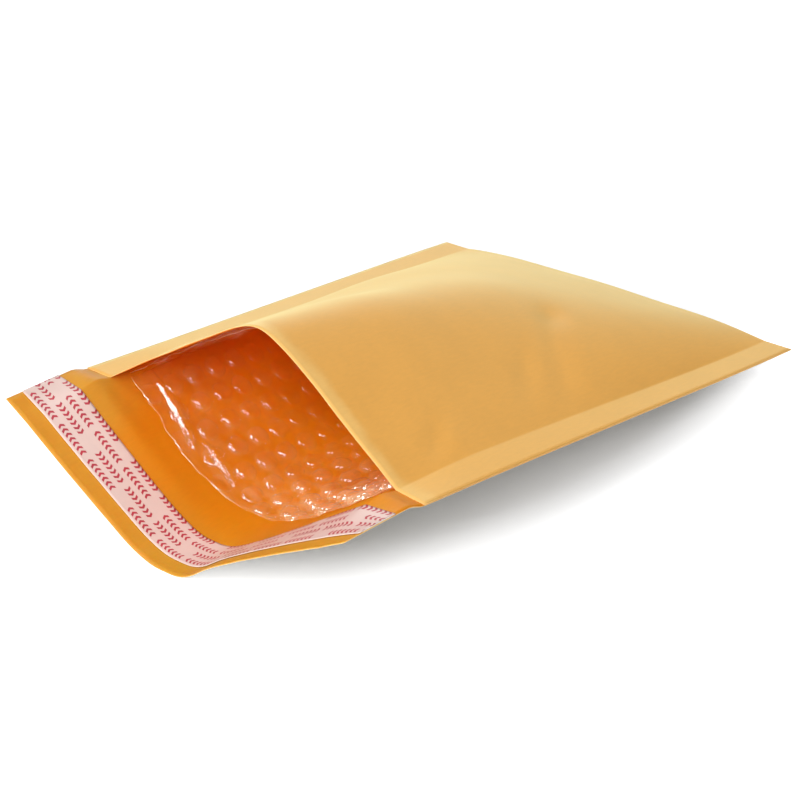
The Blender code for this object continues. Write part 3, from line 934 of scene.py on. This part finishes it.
def bubble_tree(film):
    """Tree that lays out the domes, row by row, each turned and sized a little apart."""
    sizes = {
        "Width": ("NodeSocketFloat", 2 * (PANEL_HALF - FILM_SIDE_GAP)),
        "Start": ("NodeSocketFloat", FLAP_LENGTH + FILM_SETBACK),
        "Length": ("NodeSocketFloat", SHEET_END - FLAP_LENGTH - 2 * FILM_SETBACK),
        "Bubble Pitch": ("NodeSocketFloat", film.pitch),
        "Row Pitch": ("NodeSocketFloat", film.row_pitch),
        "Row Offset": ("NodeSocketFloat", film.row_offset),
        "Bubble Start": ("NodeSocketFloat", film.bubble_start),
        "Setback": ("NodeSocketFloat", FILM_SETBACK),
        "Bubble Radius": ("NodeSocketFloat", film.radius),
        "Bubble Height": ("NodeSocketFloat", film.height),
        "Seed": ("NodeSocketInt", film.seed),
        "Film": ("NodeSocketMaterial", None),
    }
    made = GeometryTree("Bubble Film", sizes)
    get, maths, node = made.inputs, made.maths, made.node
    width, length = get["Width"], get["Length"]

    rows = maths("FLOOR", maths("DIVIDE", width, get["Row Pitch"]))
    in_row = maths("FLOOR", maths("DIVIDE", length, get["Bubble Pitch"]))
    half_rows = maths("MULTIPLY", maths("SUBTRACT", rows, 1.0), 0.5)
    half_run = maths("MULTIPLY", maths("MULTIPLY", maths("SUBTRACT", in_row, 1.0), 0.5),
                     get["Bubble Pitch"])
    grid = node("GeometryNodeMeshGrid", {
        "Size X": maths("MULTIPLY", maths("MULTIPLY", half_rows, get["Row Pitch"]), 2.0),
        "Size Y": maths("MULTIPLY", half_run, 2.0),
        "Vertices X": rows,
        "Vertices Y": in_row,
    })
    place = node("ShaderNodeSeparateXYZ", {0: node("GeometryNodeInputPosition").outputs[0]})
    row = maths("ROUND", maths("ADD", maths("DIVIDE", place.outputs[0], get["Row Pitch"]), half_rows))
    stagger = maths("MULTIPLY", maths("FLOORED_MODULO", row, 2.0),
                    maths("MULTIPLY", get["Bubble Pitch"], 0.5))
    first = maths("SUBTRACT", maths("ADD", half_run, get["Bubble Start"]),
                  maths("MULTIPLY_ADD", length, 0.5, get["Setback"]))
    offset = node("ShaderNodeCombineXYZ", {0: get["Row Offset"], 1: maths("ADD", first, stagger)})
    staggered = node("GeometryNodeSetPosition",
                     {"Geometry": grid.outputs[0], "Offset": offset.outputs[0]})

    cone = node("GeometryNodeMeshCone", {
        "Vertices": 12, "Side Segments": 4, "Radius Top": 0.0,
        "Radius Bottom": 1.0, "Depth": 1.0,
    }, fill_type="NONE")
    spot = node("GeometryNodeInputPosition").outputs[0]
    flat = node("ShaderNodeVectorMath", {0: spot, 1: (1.0, 1.0, 0.0)}, operation="MULTIPLY")
    reach = node("ShaderNodeVectorMath", {0: flat.outputs[0]}, operation="LENGTH").outputs["Value"]
    angle = maths("MULTIPLY", maths("SUBTRACT", 1.0, reach), math.pi / 2)
    radius = maths("MULTIPLY", maths("POWER", maths("COSINE", angle), 0.85), get["Bubble Radius"])
    height = maths("MULTIPLY", maths("POWER", maths("MAXIMUM", maths("SINE", angle), 0.0), 0.75),
                   get["Bubble Height"])
    way = node("ShaderNodeVectorMath", {0: flat.outputs[0]}, operation="NORMALIZE").outputs[0]
    foot = node("ShaderNodeVectorMath", {0: way, "Scale": radius}, operation="SCALE").outputs[0]
    top = node("ShaderNodeCombineXYZ", {2: height}).outputs[0]
    surface = node("ShaderNodeVectorMath", {0: foot, 1: top}, operation="ADD").outputs[0]
    dome = node("GeometryNodeSetPosition", {"Geometry": cone.outputs["Mesh"], "Position": surface})

    turn = node("FunctionNodeRandomValue", {"Seed": get["Seed"]}, data_type="FLOAT")
    turn.inputs[3].default_value = 2 * math.pi
    about = node("ShaderNodeCombineXYZ", {2: turn.outputs[1]})
    spread = node("FunctionNodeRandomValue", {"Seed": maths("ADD", get["Seed"], 1.0)},
                  data_type="FLOAT_VECTOR")
    spread.inputs[0].default_value = (0.93, 0.93, 0.62)
    spread.inputs[1].default_value = (1.03, 1.03, 1.08)
    bubbles = node("GeometryNodeInstanceOnPoints", {
        "Points": staggered.outputs[0], "Instance": dome.outputs[0],
        "Rotation": about.outputs[0], "Scale": spread.outputs[0],
    })
    start = node("ShaderNodeCombineXYZ",
                 {1: maths("MULTIPLY_ADD", length, 0.5, get["Start"])})
    laid = node("GeometryNodeTransform", {"Geometry": bubbles.outputs[0],
                                          "Translation": start.outputs[0]})
    smooth = node("GeometryNodeSetShadeSmooth", {"Geometry": laid.outputs[0]})
    made.finish(smooth.outputs[0], get["Film"])
    return made


def applied(holder):
    """Plain mesh of an object with its modifiers applied. The object itself is removed."""
    evaluated = holder.evaluated_get(bpy.context.evaluated_depsgraph_get())
    mesh = bpy.data.meshes.new_from_object(evaluated)
    name = holder.name
    bpy.data.objects.remove(holder, do_unlink=True)
    if not mesh.polygons:
        raise RuntimeError(f"{name} has no faces")
    return mesh


def made_by_tree(name, made, values):
    """Plain mesh that a tree makes with the given inputs."""
    holder = add_piece(name, bpy.data.meshes.new(name))
    modifier = holder.modifiers.new(made.tree.name, "NODES")
    modifier.node_group = made.tree
    for label, value in values.items():
        modifier[made.sockets[label]] = value
    return applied(holder)


def joined(name, *meshes):
    """One smooth mesh from several, with the first one's materials."""
    both = bmesh.new()
    for mesh in meshes:
        both.from_mesh(mesh)
    for face in both.faces:
        face.material_index = 0
    whole = bpy.data.meshes.new(name)
    both.to_mesh(whole)
    both.free()
    for material in meshes[0].materials:
        whole.materials.append(material)
    whole.shade_smooth()
    return whole


def film_sheet(film, material):
    """Flat backing film with finer mesh lines near its cut edge on the back panel, where it shows."""
    half = PANEL_HALF - FILM_SIDE_GAP
    start = FLAP_LENGTH + FILM_SETBACK
    edge_end, crease_end = start + FILM_EDGE_WIDTH, start + FILM_CREASE_WIDTH
    columns = lines(FILM_COLUMN_STEP, -half, half)
    rows = np.concatenate([lines(FILM_EDGE_STEP, start, edge_end)[:-1],
                           lines(FILM_CREASE_STEP, edge_end, crease_end)[:-1],
                           lines(FILM_BODY_STEP, crease_end, SHEET_END - FILM_SETBACK)])
    mesh = flat_sheet("film_sheet", columns, rows)
    mesh.materials.append(material)
    holder = add_piece("film_sheet", mesh)
    thicken(holder, film.thickness)
    return applied(holder)


def crease_lift(across, along):
    """Height of the film's standing creases."""
    lift = np.zeros_like(across)
    for (start_x, start_y), (end_x, end_y), height, half_width in FILM_CREASES:
        length = math.hypot(end_x - start_x, end_y - start_y)
        way_x, way_y = (end_x - start_x) / length, (end_y - start_y) / length
        reach = ((across - start_x) * way_x + (along - start_y) * way_y) / length
        off = (along - start_y) * way_x - (across - start_x) * way_y
        off = off + CREASE_WAVER * soft_noise(reach * 7, reach * 0, 11)
        fade = np.sqrt(np.clip(4 * reach * (1 - reach), 0, 1))
        place = off / (half_width * np.maximum(fade, 0.05))
        profile = np.where(place < 0, np.clip(1 + place, 0, 1), bell(place / 1.5))
        lift = np.maximum(lift, height * profile * fade)
    return lift


def film_lift(flat, film):
    """Height of the film's vertices above the paper's middle, with its wrinkles and dented domes."""
    across, run, height = flat[:, 0], flat[:, 1], flat[:, 2]
    dome = np.clip(height / film.height, 0.0, 1.0)
    edge = np.minimum(run - FLAP_LENGTH - FILM_SETBACK, SHEET_END - FILM_SETBACK - run)
    edge = np.clip(edge, 0.0, 1.0)
    wrinkle = waves(across, run, FILM_WRINKLE, 21) + waves(across, run, FILM_FINE_WRINKLE, 22)
    curl = FILM_CURL * (1 + soft_noise(across / FILM_CURL_LENGTH, run * 0, 23))
    curl = curl * bell(edge / FILM_CURL_WIDTH)
    dents = DOME_DENT * soft_noise(across / DOME_DENT_SIZE, run / DOME_DENT_SIZE, 24) * dome
    along = run - FLAP_LENGTH
    crease = crease_lift(across, along)
    smooth_face = 1 - np.clip(crease / CREASE_SMOOTH_HEIGHT, 0.0, 1.0)
    base = FILM_REST + np.abs(wrinkle) * smooth_face + curl + crease
    sealed = ease((FLAT_FILM_END - along) / FLAT_FILM_END_FADE)
    sealed = sealed * ease((FLAT_FILM_SIDE - across) / FLAT_FILM_SIDE_FADE)
    flatten = np.clip(np.maximum(crease / CREASE_FLAT_HEIGHT, sealed), 0.0, 1.0)
    lift = base + height * (1 - CREASED_DOME_LOSS * flatten * dome) + dents * (1 - flatten)
    room = half_room(across, run) - FILM_CLEARANCE
    return np.minimum(lift, np.maximum(room * 0.9, LEAST_FILM_LIFT))


def ragged_run(flat):
    """Run of the film's vertices with its wavy cut edges."""
    across, run = flat[:, 0], flat[:, 1]
    near = bell((run - FLAP_LENGTH - FILM_SETBACK) / CUT_REACH)
    wave = waves(across, across * 0, CUT_WAVE, 31) + waves(across, across * 0, CUT_FINE_WAVE, 32)
    depth, middle, width = CUT_DIP
    dip = depth * bell((across - middle) / width)
    depth, start, width = CUT_RIGHT_DIP
    dip = dip + depth * ease((across - start) / width)
    return run + near * (wave - dip)


def settle(piece, node, slot):
    """Let a finished piece ride on the mailer in place of its plain solid."""
    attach(piece, "root")
    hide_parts(node)


class MAILER_OT_fold_paper(bpy.types.Operator):
    """Fold the kraft sheet into the back panel, the front panel and the flap"""

    bl_idname = "mailer.fold_paper"
    bl_label = "Fold Paper"

    def execute(self, context):
        paper = context.scene.mailer_paper
        step = paper.column_step
        seam = POCKET_WIDTH / 2
        columns = lines(step, -seam, -PANEL_HALF - SEAM_STEP, -PANEL_HALF, -PANEL_HALF + SEAM_STEP,
                        PANEL_HALF - SEAM_STEP, PANEL_HALF, PANEL_HALF + SEAM_STEP, seam)
        bend = FOLD_LINE - FOLD_HALF_THICKNESS, FOLD_LINE + FOLD_HALF_THICKNESS
        rows = np.concatenate([lines(step, 0.0, FLAP_LENGTH, bend[0]),
                               lines(FOLD_STEP, *bend)[1:-1], lines(step, bend[1], SHEET_END)])
        mesh = flat_sheet("kraft_envelope", columns, rows)
        fold_mesh(mesh)
        piece = add_piece("kraft_paper_sheet", mesh)
        # The inner side is lit and shaded copies of one kraft colour: painted light at the margin,
        # painted shade in the flap, painted glow in the pocket
        inner_painted_steps = ((*FLAP_PAINTED_SHADE_RUN, paper.flap_painted_shade_colour), (*POCKET_PAINTED_GLOW_RUN, paper.pocket_painted_glow_colour))
        inner, shader = kraft_material("kraft_inner", paper.margin_painted_light_colour, inner_painted_steps, paper.grain,
                                       INNER_ROUGHNESS)
        shader.inputs["Specular IOR Level"].default_value = 0.25
        shader.inputs["Subsurface Weight"].default_value = paper.glow
        shader.inputs["Subsurface Radius"].default_value = (1.0, 0.35, 0.06)
        shader.inputs["Subsurface Scale"].default_value = 0.0010
        # Painted highlight along the front's cut edge, and painted light on the side strips
        outer_painted_steps = ((*PALE_HIGHLIGHT_RUN, paper.pale_painted_highlight_colour),)
        outer, shader = kraft_material("kraft_outer", paper.outer_colour, outer_painted_steps, paper.grain,
                                       OUTER_ROUGHNESS, painted_seam_share=PALE_SEAM_LIGHT_SHARE,
                                       grey_bounce=GREY_BOUNCE_COLOUR)
        shader.inputs["Sheen Weight"].default_value = 0.52
        shader.inputs["Sheen Roughness"].default_value = 0.5
        shader.inputs["Sheen Tint"].default_value = (0.95, 1.0, 0.50, 1.0)
        mesh.materials.append(inner)
        mesh.materials.append(outer)
        mesh.materials.append(edge_material("kraft_edge", paper.edge_colour, 0.6))
        thicken(piece, paper.thickness, outer_slot=1, rim_slot=2)
        settle(piece, "kraft_envelope", "kraft_paper")
        return {"FINISHED"}


class MAILER_OT_lay_film(bpy.types.Operator):
    """Lay the bubble film inside the pocket"""

    bl_idname = "mailer.lay_film"
    bl_label = "Lay Bubble Film"

    def execute(self, context):
        film = context.scene.mailer_film
        material = film_material(film.colour, film.haze)
        made = bubble_tree(film)
        domes = made_by_tree("film_bubbles", made, {"Film": material, "Seed": film.seed})
        mesh = joined("bubble_film", film_sheet(film, material), domes)
        flat = vertex_places(mesh)
        inset = np.minimum(flat[:, 1] - FLAP_LENGTH, SHEET_END - flat[:, 1]) - FILM_SETBACK
        inset = inset + np.where(flat[:, 2] > film.thickness, 1.0, 0.0)
        mesh.uv_layers.new(name="Sheet")
        set_uv_map(mesh, "Cut", np.stack([inset, inset], axis=-1))
        flat[:, 2] = film_lift(flat, film)
        flat[:, 1] = ragged_run(flat)
        set_vertex_places(mesh, flat)
        fold_mesh(mesh)
        piece = add_piece("bubble_film", mesh)
        settle(piece, "bubble_liner", "clear_film")
        return {"FINISHED"}


class MAILER_OT_stick_closure(bpy.types.Operator):
    """Stick the adhesive and its release liner on the flap"""

    bl_idname = "mailer.stick_closure"
    bl_label = "Stick Closure"

    def execute(self, context):
        closure = context.scene.mailer_closure
        paper = context.scene.mailer_paper
        half = POCKET_WIDTH / 2
        columns = lines(CLOSURE_STEP, -half, -PANEL_HALF, PANEL_HALF, half)
        glue_lift = (paper.thickness + closure.adhesive_thickness) / 2 + CLOSURE_GAP
        between = (closure.adhesive_thickness + closure.liner_thickness) / 2
        liner_lift = glue_lift + between + CLOSURE_GAP
        start = RELEASE_MARGIN + ADHESIVE_INSET
        rows = lines(CLOSURE_STEP, start, start + RELEASE_WIDTH - 2 * ADHESIVE_INSET)
        glue = flat_sheet("adhesive", columns, rows, glue_lift)
        glue.materials.append(adhesive_material(closure.adhesive_colour))
        rows = lines(LINER_ROW_STEP, RELEASE_MARGIN, RELEASE_MARGIN + RELEASE_WIDTH)
        liner = flat_sheet("release_liner", columns, rows, liner_lift)
        liner.materials.append(liner_material(closure))
        liner.materials.append(edge_material("release_edge", LINER_EDGE_COLOUR, 0.5))
        for name, mesh, thickness, node, slot in (
                ("adhesive_band", glue, closure.adhesive_thickness, "adhesive_strip", "adhesive"),
                ("release_tape", liner, closure.liner_thickness, "release_liner", "release_paper")):
            fold_mesh(mesh)
            piece = add_piece(name, mesh)
            thicken(piece, thickness, rim_slot=len(mesh.materials) - 1)
            settle(piece, node, slot)
        return {"FINISHED"}


def table_material(colour):
    """White table that keeps the mailer's shadow close round it.

    What the camera sees of it has a little light of its own, and more of it farther out.
    """
    material, tree, shader = new_material("table")
    shader.inputs["Base Color"].default_value = colour
    shader.inputs["Roughness"].default_value = 0.9
    shader.inputs["Specular IOR Level"].default_value = 0.0
    path = add_node(tree, "ShaderNodeLightPath")
    seen = math_node(tree, "MAXIMUM", path.outputs["Is Camera Ray"],
                     math_node(tree, "MAXIMUM", path.outputs["Is Glossy Ray"],
                               path.outputs["Is Transmission Ray"]))
    place = add_node(tree, "ShaderNodeTexCoord").outputs["Object"]
    x, y = add_node(tree, "ShaderNodeSeparateXYZ", {0: place}).outputs[:2]
    right = math_node(tree, "DIVIDE", math_node(tree, "MAXIMUM", x, 0.0), GLOW_RIGHT)
    left = math_node(tree, "DIVIDE", math_node(tree, "MINIMUM", x, 0.0), GLOW_LEFT)
    along = math_node(tree, "DIVIDE", math_node(tree, "SUBTRACT", y, GLOW_MIDDLE), GLOW_LENGTH)
    square = math_node(tree, "ADD", math_node(tree, "MULTIPLY", right, right),
                       math_node(tree, "MULTIPLY", left, left))
    reach = math_node(tree, "SQRT", math_node(tree, "MULTIPLY_ADD", along, along, square))
    own = ramp(tree, reach, GLOW_START, 1.0, GLOW_NEAR, GLOW_FAR, smooth=True)
    glow = add_node(tree, "ShaderNodeEmission",
                    {"Color": GLOW_COLOUR, "Strength": math_node(tree, "MULTIPLY", seen, own)})
    both = add_node(tree, "ShaderNodeAddShader", {0: shader.outputs[0], 1: glow.outputs[0]})
    tree.links.new(both.outputs[0], tree.nodes["Material Output"].inputs["Surface"])
    return material


def add_area_lamp(name, place, aim, size, level):
    """Lamp of a width and a height that adds the given level of light at its aim."""
    lamp = bpy.data.lights.new(name, "AREA")
    lamp.shape = "RECTANGLE"
    lamp.size, lamp.size_y = size
    offset = Vector(place) - Vector(aim)
    lamp.energy = level * math.pi ** 2 * offset.length ** 2
    holder = bpy.data.objects.new(name, lamp)
    holder.location = place
    holder.rotation_euler = offset.to_track_quat("Z", "Y").to_euler()
    bpy.context.scene.collection.objects.link(holder)
    return holder


class MAILER_OT_set_stage(bpy.types.Operator):
    """Set the table, the lamps, the world and the camera"""

    bl_idname = "mailer.set_stage"
    bl_label = "Set Stage"

    def execute(self, context):
        stage = context.scene.mailer_stage
        scene = context.scene
        table = bmesh.new()
        bmesh.ops.create_grid(table, x_segments=1, y_segments=1, size=TABLE_HALF)
        mesh = bpy.data.meshes.new("table")
        table.to_mesh(mesh)
        table.free()
        mesh.transform(Matrix.Translation((0.0, 0.0, TABLE_HEIGHT)))
        mesh.materials.append(table_material(stage.table_colour))
        add_piece("table", mesh)

        for name, place, size, setting, share in LAMPS:
            add_area_lamp(name, place, LAMP_AIM, size, getattr(stage, setting) * share)

        world = bpy.data.worlds.new("studio")
        world.use_nodes = True
        scene.world = world
        tree = world.node_tree
        path = add_node(tree, "ShaderNodeLightPath")
        seen = math_node(tree, "MAXIMUM", path.outputs["Is Camera Ray"],
                         path.outputs["Is Transmission Ray"])
        mirrored = math_node(tree, "MULTIPLY", path.outputs["Is Glossy Ray"],
                             (MIRRORED_WORLD - 1.0) * stage.world_level)
        level = math_node(tree, "ADD", mirrored, stage.world_level)
        strength = math_node(tree, "MULTIPLY_ADD", seen, 1.0 - stage.world_level, level)
        background = tree.nodes["Background"]
        background.inputs["Color"].default_value = (1.0, 1.0, 1.0, 1.0)
        tree.links.new(strength, background.inputs["Strength"])

        target = Vector(CAMERA_AIM)
        turn, lean = stage.azimuth, stage.elevation
        back = Vector((math.sin(turn) * math.cos(lean), -math.cos(turn) * math.cos(lean),
                       math.sin(lean)))
        lens = bpy.data.cameras.new("camera")
        lens.lens = stage.lens
        lens.sensor_width = 36.0
        lens.clip_start = 0.01
        camera = bpy.data.objects.new("camera", lens)
        camera.location = target + back * stage.distance
        camera.rotation_euler = back.to_track_quat("Z", "Y").to_euler()
        scene.collection.objects.link(camera)
        scene.camera = camera
        scene.view_settings.view_transform = "Standard"
        scene.cycles.transparent_max_bounces = FILM_LAYERS_CROSSED
        return {"FINISHED"}


class MAILER_PT_panel(bpy.types.Panel):
    """Lists the mailer's operators and settings"""

    bl_idname = "MAILER_PT_panel"
    bl_label = "Bubble Mailer"
    bl_space_type = "VIEW_3D"
    bl_region_type = "UI"
    bl_category = "Mailer"

    def draw(self, context):
        for settings, operator in STEPS:
            box = self.layout.box()
            box.operator(operator)
            group = getattr(context.scene, settings)
            for name in group.bl_rna.properties.keys():
                if name not in ("rna_type", "name"):
                    box.prop(group, name)


STEPS = (
    ("mailer_paper", "mailer.fold_paper"),
    ("mailer_film", "mailer.lay_film"),
    ("mailer_closure", "mailer.stick_closure"),
    ("mailer_stage", "mailer.set_stage"),
)

SETTINGS = {
    "mailer_paper": MailerPaperSettings,
    "mailer_film": MailerFilmSettings,
    "mailer_closure": MailerClosureSettings,
    "mailer_stage": MailerStageSettings,
}

CLASSES = (
    *SETTINGS.values(),
    MAILER_OT_fold_paper,
    MAILER_OT_lay_film,
    MAILER_OT_stick_closure,
    MAILER_OT_set_stage,
    MAILER_PT_panel,
)


def register():
    """Register the classes and put the settings on the scene."""
    for cls in CLASSES:
        bpy.utils.register_class(cls)
    for name, group in SETTINGS.items():
        setattr(bpy.types.Scene, name, PointerProperty(type=group))


def unregister():
    """Take the settings and the classes away again."""
    for name in SETTINGS:
        delattr(bpy.types.Scene, name)
    for cls in reversed(CLASSES):
        bpy.utils.unregister_class(cls)


def main():
    """Make the mailer and its stage."""
    register()
    bpy.ops.mailer.fold_paper()
    bpy.ops.mailer.lay_film()
    bpy.ops.mailer.stick_closure()
    bpy.ops.mailer.set_stage()


if __name__ == "__main__":
    main()
